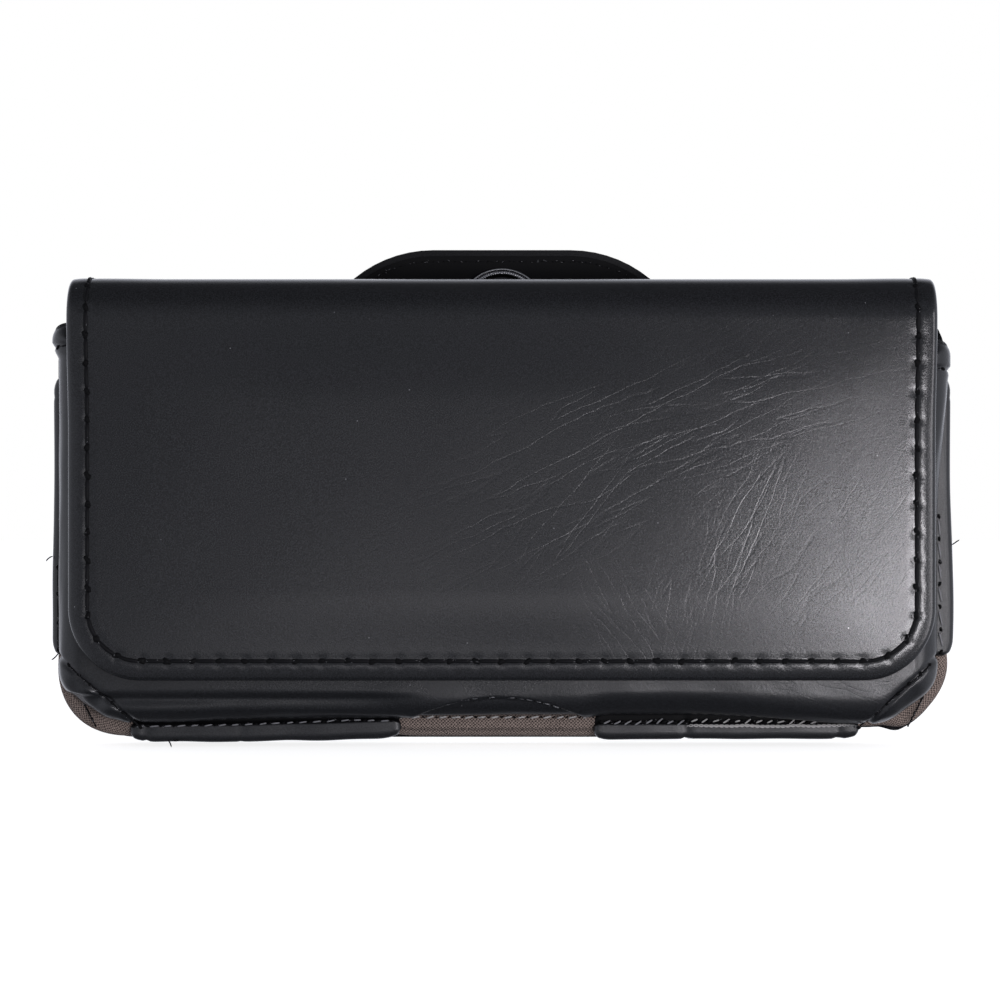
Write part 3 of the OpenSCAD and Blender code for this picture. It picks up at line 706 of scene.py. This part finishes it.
def build_front():
    """The front panel as rings from its turned-in lip, round the roll, to the flat middle."""
    points, normals = outline(FRONT_CORNERS, FRONT_RADII, 0.45)
    roll_in = 5.0 + 0.5 * smooth((points[:, 0] + 15) / 30)
    roll = [(0, 0.35, LIP), (0, 0.05, LIP + 1.0)]
    roll += [(1 - math.cos(a), 0, FRONT_FACE - FRONT_ROLL + FRONT_ROLL * math.sin(a))
             for a in np.radians(np.linspace(0, 90, 24))]
    roll += [(1, k, FRONT_FACE) for k in (0.4, 0.9, 1.5, 2.2, 3.0, 4.0, 5.5, 8.0, 12.0, 90.0)]
    length = run_length(points)
    hem_flat = smooth((points[:, 1] - (FRONT_TOP - 2.5)) / 2)
    rings, uvs = [], []
    middle = np.array([0, (FRONT_TOP + FRONT_LOW) / 2])
    reach = np.array([FRONT_HALF, (FRONT_TOP - FRONT_LOW) / 2])
    for share, flat, depth in roll:
        inset = share * roll_in + min(flat, 0.35) * (share < 1)
        p = points + normals * inset[:, None] - middle
        p = np.clip(p, inset[:, None] - reach, reach - inset[:, None])
        p = p * np.maximum(0, 1 - (share == 1) * flat / (reach - inset[:, None])) + middle
        x, z = p.T
        tilt = (0.2 - 0.019 * x) * smooth((z - 60) / 20)
        above_seam = z + tilt - hem_seam(x)
        relief = front_relief(x, z, above_seam, length, depth, flat)
        angle = min(max((depth - (FRONT_FACE - FRONT_ROLL)) / FRONT_ROLL, 0), 1)
        forward = np.maximum(depth, LIP + hem_flat * (POCKET_HALF + 0.2 - LIP)) + relief * angle
        x, z = (p - normals * (relief * math.sqrt(1 - angle**2))[:, None]).T
        ear = smooth((above_seam + 2.6) / 2.6) * smooth((np.abs(x) - 76) / 8)
        lean = smooth((np.abs(x) - 70) / 12)
        x = x + np.where(x < 0, -ear - 0.4 * lean, 0.2 * ear + (2.1 * smooth((z - 44) / 30) - 1.1) * lean)
        z = z + (tilt + foot_rise(x, z))
        rings.append(place(x, forward, z))
        uvs.append(np.stack([length, depth + inset + flat], axis=-1))
    faces = grid_faces(len(rings), len(points), closed=True)
    obj = mesh_object("front_leather", np.concatenate(rings), faces, np.concatenate(uvs), [LEATHER_SMOOTH])
    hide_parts("front_cover", "notch_facing")
    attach(obj, "pouch")
    cloud = np.concatenate(rings[2:])
    forwards = (0, -1, 0)
    for side, label in ((-1, "left"), (1, "right")):
        seam = CORNER_SEAM[1:] + np.stack([0 * CORNER_SEAM[1:, 0], foot_rise(*CORNER_SEAM[1:].T)], axis=-1)
        path = settled(cloud, (seam - ((side > 0) * 0.9, 0)) * (side, 1), 0.05)
        out = np.array([0.45 * side, -1, -0.35])
        sew("corner_thread_" + label, path, out, 2.9, THREAD, 0.17, gap=0.4, knot=0.42)
    x = np.linspace(-0.2 - FRONT_HALF, FRONT_HALF - 0.4, 90)
    hem_path = settled(cloud, np.stack([x, hem_seam(x)], axis=-1), 0.0, 1.0)
    sew("hem_thread", hem_path, forwards, PITCH, THREAD, 0.2, knot=0.5)
    turn = np.linspace(-0.36, 0.36, 40)
    arch = np.stack([NOTCH_R * np.sin(turn) + NOTCH_X, NOTCH_CENTRE + (NOTCH_R + 0.35) * np.cos(turn)],
                    axis=-1)
    sew("notch_thread", settled(cloud, arch, 0.02), forwards, 1.8, THREAD_SHEEN_GREY, 0.13, gap=0.6, knot=0.2)


def build_gusset():
    """The cloth channel: a flange behind the front's edge, a full round edge and the wall."""
    half, low, top = GUSSET[1][0], GUSSET[0][2], GUSSET[1][2]
    corners = [(-half, top), (-half, low), (half, low), (half, top)]
    points, normals = outline(corners, [0.01, GUSSET_R, GUSSET_R, 0.01], 0.8)
    ends = [np.argmin(np.hypot(points[:, 0] - end, points[:, 1] - top + 0.5)) for end in (-half, half)]
    keep = slice(ends[0], ends[1] + 1)
    points, normals = points[keep], normals[keep]
    x, z = points.T
    far = np.abs(x)
    length = run_length(points)
    corner = np.exp(-((far - half + 6) / 7) ** 2 - ((z - 7) / 8) ** 2)
    wall_back = BACK_FACE + 1.0
    profile = [(9.5, LIP - 0.3), (6.0, LIP - 0.1), (4.0, LIP), (2.6, LIP), (1.5, LIP - 0.1), (0.8, LIP - 0.4),
               (0.25, LIP - 1.0), (0.0, LIP - 1.8)]
    profile += [(0.0, d) for d in np.linspace(LIP - 3, wall_back + 1, 7)] + [(0.3, wall_back)]
    rings, uvs = [], []
    run, last = 0, (None, None)
    side = smooth((z - 18) / 8)
    sag = -0.35 * smooth((22 - far) / 6) * smooth((4 - z) / 2)
    swell = 1.3 * peak(np.hypot(x + 82, z - 6) / 9) + 0.7 * peak(np.hypot(x - 87, z - 14) / 6)
    tuck = 0.5 * peak((far - half + 6.5) / 1.3) * smooth((12 - z) / 4)
    for k, (inset, depth) in enumerate(profile):
        bulge = 0.35 * waves(length, np.full_like(length, depth), (34, 15), 8) * smooth((6 - inset) / 4)
        reach = np.where(inset > 2, inset * (0.55 - 0.25 * side + 0.45 * corner), inset)
        under = 1.8 * smooth((far - 21) / 1.5) * smooth((71 - far) / 2) * (z < 10)
        under = under * smooth((inset - 0.8) / 0.8)
        p = points + normals * (reach + 0.15 * bulge + 1.1 * side + sag + corner_dent(x, z) - swell)[:, None]
        rings.append(place(p[:, 0], depth + 0.5 * bulge - (under + tuck) * smooth(inset / 1.5), p[:, 1]))
        if k:
            run = run + np.hypot(reach - last[0], depth - last[1])
        last = (reach, depth)
        uvs.append(np.stack([length, run + 0 * length], axis=-1))
    faces = grid_faces(len(rings), len(points), flip=True)
    obj = mesh_object("gusset_cloth", np.concatenate(rings), faces, np.concatenate(uvs), [CLOTH])
    solid = obj.modifiers.new("thickness", "SOLIDIFY")
    solid.thickness = 0.8 * MM
    solid.offset = -1
    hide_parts("gusset")
    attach(obj, "pouch")


STRAP_FRONT = POCKET_Y - span("base_strap_left")[0][1]
STRAP_BACK = POCKET_Y - span("base_strap_left")[1][1]


def build_strap(node, start, along, inward, length, lip, sag, creases, soft, step=9.0):
    """A leather tab over the gusset, turned over its front edge and over the back, with rounded ends."""
    ends = 1.1 * (1 - np.cos(np.linspace(0, math.pi / 2, 7)))
    u = np.concatenate([ends, np.arange(1.9, length - 1.5, 0.8), length - ends[::-1]])
    bend = min(1.5, lip - 0.6)
    turns = np.linspace(0, math.pi / 2, 8)
    border = np.array([0, 0.05, 0.18, 0.4, 0.7, 1.0])
    front = [(lip - t, STRAP_FRONT, 0, 1, t) for t in border if lip - t > bend]
    front += [(h, STRAP_FRONT, 0, 1, 2) for h in np.linspace(lip - 1.1, bend + 0.1, 9)
              if lip - 1.1 > bend + 0.1]
    front += [(bend - bend * math.sin(a), STRAP_FRONT - bend + bend * math.cos(a), -math.sin(a), math.cos(a),
               2) for a in turns]
    wall = [(0, d, -1, 0, 3) for d in np.linspace(STRAP_FRONT - bend, STRAP_BACK + bend, 14)[1:-1]]
    back = [(bend - bend * math.cos(a), STRAP_BACK + bend - bend * math.sin(a), -math.cos(a), -math.sin(a), 2)
            for a in turns]
    back += [(lip - t, STRAP_BACK, 0, -1, t) for t in border[::-1] if lip - t > bend]
    from_end = np.minimum(u, length - u)
    taper = 2.4 - np.sqrt(np.clip(2.4**2 - np.clip(2.4 - from_end, 0, 2.4) ** 2, 0, None))
    shoulder = soft[1] * (1 - np.sqrt(1 - np.clip((soft[0] - from_end) / soft[0], 0, 1) ** 2))
    rings = []
    for h, depth, nh, nd, t in front + wall + back:
        at = np.minimum(from_end, t)
        sink = 1.1 * (1 - np.sqrt(1 - (1 - np.clip(at / 1.0, 0, 1)) ** 2))
        puff = 0.14 * waves(u, np.full_like(u, depth + h), (26, 11), int(length * 10)) - sink
        for place_u, deep in creases:
            puff = puff - deep * peak((u - place_u - 0.15 * (depth - h)) / 0.55)
        share = min(h / lip, 1)
        hh = h + nh * puff + shoulder * (1 - share) - taper * share + sag(u)
        p = np.array(start) + np.outer(u, along) + np.outer(hh, inward)
        rings.append(place(p[:, 0], depth + nd * puff - 0.9 * nd * smooth((h - step) / 0.4), p[:, 1]))
    turned_back = along[0] * inward[1] - along[1] * inward[0] > 0
    faces = grid_faces(len(rings), len(u), flip=not turned_back)
    obj = mesh_object(node + "_leather", np.concatenate(rings), faces, None, [LEATHER_STRAP, SHADE_BLACK])
    # Rows above the step, the recessed band under the front panel's edge, get the black painted-shade leather
    shaded_rows = sum(h > step for h, *_ in front)
    for face in obj.data.polygons:
        face.material_index = int(min(face.vertices) // len(u) < shaded_rows)
    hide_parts(node)
    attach(obj, "pouch")


def line(x1, z1, x2, z2, depth):
    """A straight path at one depth."""
    t = np.linspace(0, 1, 60)
    return place(x1 + (x2 - x1) * t, depth, z1 + (z2 - z1) * t)


def rope(name, path, radius, turn):
    """Two strands twisted round each other along a path."""
    outward = np.broadcast_to((0, -1.0, 0), path.shape)
    runs = []
    for phase in (0, math.pi):
        run = []
        for s in np.arange(0, run_length(path)[-1] / MM, turn / 12):
            p, n, _, across = along_path(path, outward, s)
            a = phase + 2 * math.pi * s / turn
            run.append(p + MM * radius * (n * math.sin(a) + across * math.cos(a)))
        runs.append(run)
    obj = tube_mesh(name, runs, radius, THREAD_SHEEN_WHITE)
    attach(obj, "pouch")


def build_straps():
    """The four leather tabs, the threads that hold them and the loose thread ends."""
    side, base = span("side_strap_right"), span("base_strap_right")
    side_lip = side[1][0] - FRONT_HALF - 0.1
    base_lip = FRONT_LOW + 1.4
    side_l, base_l = side[1][2] - side[0][2], base[1][0] - base[0][0]
    side_creases, side_soft = [(side_l - 4.5, 0.12)], (3.5, 1.8)
    build_strap("side_strap_left", (-side[1][0], side[0][2]), (0, 1), (1, 0), side_l, side_lip + 2,
                lambda u: 0.3 * smooth((u - 12) / 15), side_creases, side_soft)
    build_strap("side_strap_right", (side[1][0], side[0][2]), (0, 1), (-1, 0), side_l, side_lip + 3,
                lambda u: 0.2 * smooth((u - 20) / 15) - 0.5 * peak((u - 9) / 10), side_creases, side_soft)
    build_strap("base_strap_left", (-base[0][0], 0), (-1, 0), (0, 1), base_l + 1.6, base_lip,
                lambda u: 0.5 * smooth((20 - u) / 20) - 0.3 * smooth((u - 20) / 12),
                [(base_l - 2, 0.3), (31, 0.12)], (5, 1.5), FRONT_LOW - 0.6)
    build_strap("base_strap_right", (base[0][0] - 1.8, 0), (1, 0), (0, 1), base_l + 0.5, base_lip,
                lambda u: 0.3 + 0.2 * smooth((u - base_l + 7) / 8),
                [(17.8, 0.4), (base_l - 4.0, 0.4)], (3.5, 1.2), FRONT_LOW - 1.1)
    forwards = (0, -1, 0.3)
    x = np.linspace(-72, -21.5, 80)
    rise = np.interp(x, (-72, -52, -37, -29, -21.5), (-1.3, -0.95, -0.35, 0, -0.2))
    path = place(x, STRAP_FRONT + 0.3, FRONT_LOW + rise)
    sew("left_base_thread", path, forwards, 2.7, THREAD_SHEEN_GREY, 0.15, gap=1.0, skew=0.2, knot=0.3)
    x = np.linspace(36, 68, 60)
    path = place(x, STRAP_FRONT + 0.25, FRONT_LOW - 1.15 + 0.16 * waves(x, 0, (9, 5), 6))
    rope("right_rope", path, 0.17, 2.0)
    path = line(36.5, FRONT_LOW - 0.1, 62, FRONT_LOW - 0.5, STRAP_FRONT + 0.1)
    sew("right_upper_thread", path, forwards, 2.1, THREAD_SHEEN_WHITE, 0.16, gap=0.8, skew=0.7, knot=0.34)
    x = np.linspace(19.5, 36, 60)
    path = place(x, STRAP_FRONT + 0.1, FRONT_LOW - 0.5 + 0.35 * waves(x, 0, (7, 4), 9))
    sew("right_base_thread", path, forwards, 2.0, THREAD_SHEEN_GREY, 0.17, gap=0.7, skew=0.8, knot=0.4)
    path = line(-20.5, FRONT_LOW + 0.55, 17.8, FRONT_LOW + 0.55, STRAP_FRONT + 0.4)
    sew("cloth_thread", path, forwards, 2.5, THREAD_SHEEN_WHITE, 0.18, gap=0.9, skew=0.3, knot=0.26)
    inner = FRONT_HALF - 0.5
    path = line(inner, 44, inner + 0.4, 17.5, STRAP_FRONT + 0.2)
    sew("right_side_thread", path, (0.3, -1, 0), 4.6, THREAD_SHEEN_GREY, 0.2, gap=1.2, skew=0.5, knot=0.4)
    path = line(-inner - 1.3, 34, -inner - 1.3, 18, STRAP_FRONT + 0.1)
    sew("left_side_thread", path, (-0.3, -1, 0), 5.2, THREAD, 0.22, gap=0.6, knot=0.45)
    for side, label in ((-1, "left"), (1, "right")):
        path = line(side * 82.4, 8.4, side * 79.6, 3.0, LIP + 0.5)
        sew("wedge_thread_" + label, path, (0.3 * side, -1, -0.3), 1.6, THREAD, 0.16, gap=0.3, knot=0.26)
    ends = ((-88.0, 36.2, -1.0, -0.3, 0.5), (-86.9, 17.2, -0.5, -0.9, -0.4), (88.2, 38.4, 0.6, 0.5, 0.3),
            (-65.6, 0.2, 0.9, -0.5, -0.6), (-64.8, 0.1, 0.8, -0.2, 0.5))
    t = np.linspace(0, 1, 8)
    runs = [place(x + 1.7 * dx * t + curl * t * t, STRAP_FRONT - 1.0 + t, z + 1.7 * dz * t + curl * dx * t * t)
            for x, z, dx, dz, curl in ends]
    obj = tube_mesh("loose_ends", runs, 0.13, THREAD)
    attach(obj, "pouch")


def build_button():
    """The swivel button: a turned rim, a ring of fine teeth and a domed middle, all round its axis, in dark
    gunmetal with brighter metal on the rim's crest and the teeth as a painted highlight.
    """
    low, high = BUTTON
    radius, foot = high[0], POCKET_Y - high[1]
    thick = POCKET_Y - low[1] - foot
    teeth = 108
    profile = [(1.0, 0), (1.0, 0.46), (0.992, 0.55), (0.972, 0.6), (0.95, 0.55), (0.936, 0.46), (0.925, 0.56),
               (0.885, 0.64), (0.85, 0.58), (0.835, 0.44), (0.77, 0.4), (0.6, 0.4), (0.55, 0.5), (0.5, 0.8),
               (0.42, 0.96), (0.02, 1.0)]
    angle = np.arange(teeth * 6) * 2 * math.pi / (teeth * 6)
    tooth = np.clip(1.5 * np.cos(angle * teeth), -1, 1)
    rings = []
    for k, (r, t) in enumerate(profile):
        rise = 0.14 * tooth if k in (6, 7, 8) else 0
        rings.append(place(radius * r * np.cos(angle), foot + thick * t + rise,
                           SWIVEL_Z + radius * r * np.sin(angle)))
    faces = grid_faces(len(rings), len(angle), closed=True)
    faces.append(tuple(range((len(rings) - 1) * len(angle), len(rings) * len(angle))))
    obj = mesh_object("button", np.concatenate(rings), faces, None, [GUNMETAL, NICKEL_HIGHLIGHT])
    # Rings 2, 3, 6 and 7, the rim's crest and the teeth tops, get the brighter metal: a painted highlight
    for face in obj.data.polygons:
        face.material_index = int(face.vertices[0] // len(angle) in (2, 3, 6, 7))
    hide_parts("swivel_button")
    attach(obj, "clip")


def dress(node, material, bevel=0.0, segments=3):
    """A CAD node shown as it is, with its finish and softened edges."""
    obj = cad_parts[node]
    obj.data.materials.clear()
    obj.data.materials.append(material)
    if bevel:
        weld = obj.modifiers.new("weld", "WELD")
        weld.merge_threshold = 0.00001
        soft = obj.modifiers.new("soft_edge", "BEVEL")
        soft.width = bevel * MM
        soft.segments = segments
        soft.limit_method = "ANGLE"
        soft.angle_limit = math.radians(32)


def dress_cad():
    """Finishes of the CAD nodes that are shown as they are."""
    for node, material in (("clip_plate", LEATHER_CLIP_SHADED), ("arm_cover", LEATHER_STRAP),
                           ("arm_lining", LEATHER_CLIP_SHADED)):
        dress(node, material, 0.4)
    # The clip's facing gets the black painted-shade leather
    dress("clip_facing", SHADE_BLACK, 0.2)
    for node in ("front_lining", "back_lining", "top_lining", "flap_lining"):
        dress(node, LINING)
    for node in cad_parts:
        if node.endswith("_board"):
            dress(node, LINING)
    for node in ("clip_stiffener", "clip_bracket", "clip_rivets", "arm_spring", "swivel_rivet"):
        dress(node, STEEL, 0.12, 2)
    dress("swivel_eyelet", BRASS)


def flap_thread():
    """The row of stitches round the flap and over the front fold, and on down past the back fold."""
    half, low = FLAP_HALF - SEAM, FLAP_Z + SEAM
    radius = FLAP_R - SEAM
    side_s = np.linspace(S_MID, low + radius, 160)
    angle = np.linspace(0, math.pi / 2, 40)[1:-1]
    x = np.concatenate([np.full(160, -half), -half + radius * (1 - np.cos(angle)),
                        np.linspace(-half + radius, 0, 120)])
    s = np.concatenate([side_s, low + radius * (1 - np.sin(angle)), np.full(120, low)])
    x, s = np.concatenate([x, -x[-2::-1]]), np.concatenate([s, s[-2::-1]])
    on = over(x, s, flap_height(x, s))
    above = over(x, s, flap_height(x, s) + 1)
    run = np.linspace(0, SEAM_RUN, 2000)
    numbers = stitch_number(run)
    half_holes = np.interp(np.arange(int(numbers[-1]) + 1), numbers, run)
    length = run_length(on)[-1] / MM
    holes = length / 2 + np.concatenate([-half_holes[:0:-1], half_holes]) * length / (2 * SEAM_RUN)
    thick = {"pitch": PITCH, "material": THREAD, "radius": 0.42, "lift": 0.04, "gap": 0.3, "knot": 0.76}
    sew("flap_thread", on, (above - on) / MM, fix=blend_flap, holes=holes, **thick)
    s = np.linspace(S_MID - 0.9, S3 + 4.5, 60)
    for side, label in ((-1, "left"), (1, "right")):
        x = np.full(60, side * half)
        on, above = over(x, s, back_height(x, s)), over(x, s, back_height(x, s) + 1)
        sew("strip_thread_" + label, on, (above - on) / MM, fix=blend_back, **thick)


def clip_thread():
    """Fine stitches round the clip's facing."""
    arch, drop, foot = 24.2, 9.2, 22.0
    corners = [(-arch, 12.4), (-arch - drop, 3.2), (-foot, -49), (foot, -49), (arch + drop, 3.2),
               (arch, 12.4)]
    points, normals = outline(corners, [25, 4.5, 12, 12, 4.5, 25], 0.8)
    points = points + normals * 2.3
    points = np.concatenate([points, points[:1]])
    depth = POCKET_Y - span("clip_facing")[0][1]
    path = place(points[:, 0], depth + 0.02, points[:, 1] + SWIVEL_Z)
    sew("clip_thread", path, (0, -1, 0), 2.2, THREAD, 0.1, gap=0.9, knot=0.2, fix="clip")


def blend_flap(obj):
    """obj's transform is baked into its mesh; it does not bend with the leather over the front fold."""
    tuple(place(0, BEND_D + 1.2, BEND_Z + 9.2))
    tuple(place(0, BEND_D + 6.6, BEND_Z))
    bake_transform(obj)


def blend_back(obj):
    """obj's transform is baked into its mesh; it does not bend with the leather over the back fold."""
    tuple(place(0, BACK_FACE + 0.5, BACK_Z - 0.4))
    tuple(place(0, BACK_D + 1.6, TOP_Z))
    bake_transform(obj)


def stage():
    """Camera, lights and the white surround."""
    scene = bpy.context.scene
    camera = bpy.data.objects.new("camera", bpy.data.cameras.new("camera"))
    scene.collection.objects.link(camera)
    scene.camera = camera
    distance, view_width, eye_height, sensor = 600.0, 192.4, 47.2, 36
    camera.location = (0, (POCKET_Y - FLAP_FACE - distance) * MM, eye_height * MM)
    camera.rotation_euler = (math.pi / 2, 0, 0)
    camera.data.sensor_width = sensor
    camera.data.lens = sensor * distance / view_width
    camera.data.shift_x = -0.0019
    camera.data.clip_start = 0.01
    world = bpy.data.worlds.new("surround")
    scene.world = world
    world.use_nodes = True
    tree = world.node_tree
    white = add(tree, "ShaderNodeBackground", Color=(1, 1, 1, 1), Strength=1.0)
    direction = tree.nodes.new("ShaderNodeTexCoord").outputs["Generated"]
    split = add(tree, "ShaderNodeSeparateXYZ", Vector=direction)
    sideways = math_node(tree, "ABSOLUTE", split.outputs["X"], 0)
    low_dark = ramp(tree, split.outputs["Z"], -0.85, -0.3, 0.25, 1.0)
    high_dark = ramp(tree, split.outputs["Z"], 0.3, 0.85, 1.0, 0.35)
    level = math_node(tree, "MULTIPLY", ramp(tree, sideways, 0.25, 0.9, 0.33, 0.85), low_dark)
    level = math_node(tree, "MULTIPLY", level, high_dark)
    level = math_node(tree, "ADD", level, ramp(tree, split.outputs["Y"], 0.55, 0.92, 0.0, 0.8))
    tint = {channel: math_node(tree, "MULTIPLY", level, factor)
            for channel, factor in (("Red", 0.95), ("Green", 0.975), ("Blue", 1.08))}
    tinted = add(tree, "ShaderNodeCombineColor", **tint).outputs[0]
    studio = fill(tree, tree.nodes["Background"], Color=tinted)
    seen = tree.nodes.new("ShaderNodeLightPath").outputs["Is Camera Ray"]
    mix_shaders(tree, seen, studio.outputs[0], white.outputs[0], "World Output")
    for name, energy, size, at, aim in (
        ("key_tall", 0.34, (0.052, 0.098), (0.193, -0.52, 0.014), (0.10, 0, 0.04)),
        ("key_low", 0.33, (0.090, 0.070), (0.180, -0.52, -0.012), (0.10, 0, 0.02)),
        ("right_wall", 0.9, (0.15, 0.4), (0.42, -0.42, 0.05), (0.05, 0, 0.05)),
        ("low_glow", 0.27, (0.5, 0.13), (0.10, -0.92, -0.055), (0.05, 0, 0.02)),
    ):
        light = bpy.data.lights.new(name, "AREA")
        light.energy = energy
        light.shape = "RECTANGLE"
        light.size, light.size_y = size
        light.color = (0.98, 0.955, 1.0)
        obj = bpy.data.objects.new(name, light)
        scene.collection.objects.link(obj)
        obj.location = at
        to = np.array(aim) - np.array(at)
        obj.rotation_euler = (math.acos(-to[2] / np.linalg.norm(to)), 0,
                              math.atan2(to[1], to[0]) - math.pi / 2)
    material, tree, shader = nodes_of("floor")
    fill(tree, shader, Base_Color=(0.8, 0.8, 0.8, 1), Roughness=1.0, Specular_IOR_Level=0.0,
         Emission_Color=(1, 1, 1, 1), Emission_Strength=0.82)
    clear = tree.nodes.new("ShaderNodeBsdfTransparent")
    below = tree.nodes.new("ShaderNodeNewGeometry").outputs["Backfacing"]
    mix_shaders(tree, below, shader.outputs[0], clear.outputs[0], "Material Output")
    size, low = 3.0, -1.2 * MM
    corners = [(-size, -size, low), (size, -size, low), (size, size, low), (-size, size, low)]
    floor = mesh_object("floor", corners, [(0, 1, 2, 3)], None, [material])
    floor.visible_shadow = floor.visible_glossy = floor.visible_diffuse = floor.visible_transmission = False
    scene.view_settings.view_transform = "Standard"


build_flap()
build_back()
build_fold_linings()
build_front()
build_gusset()
build_straps()
build_button()
dress_cad()
flap_thread()
clip_thread()
stage()
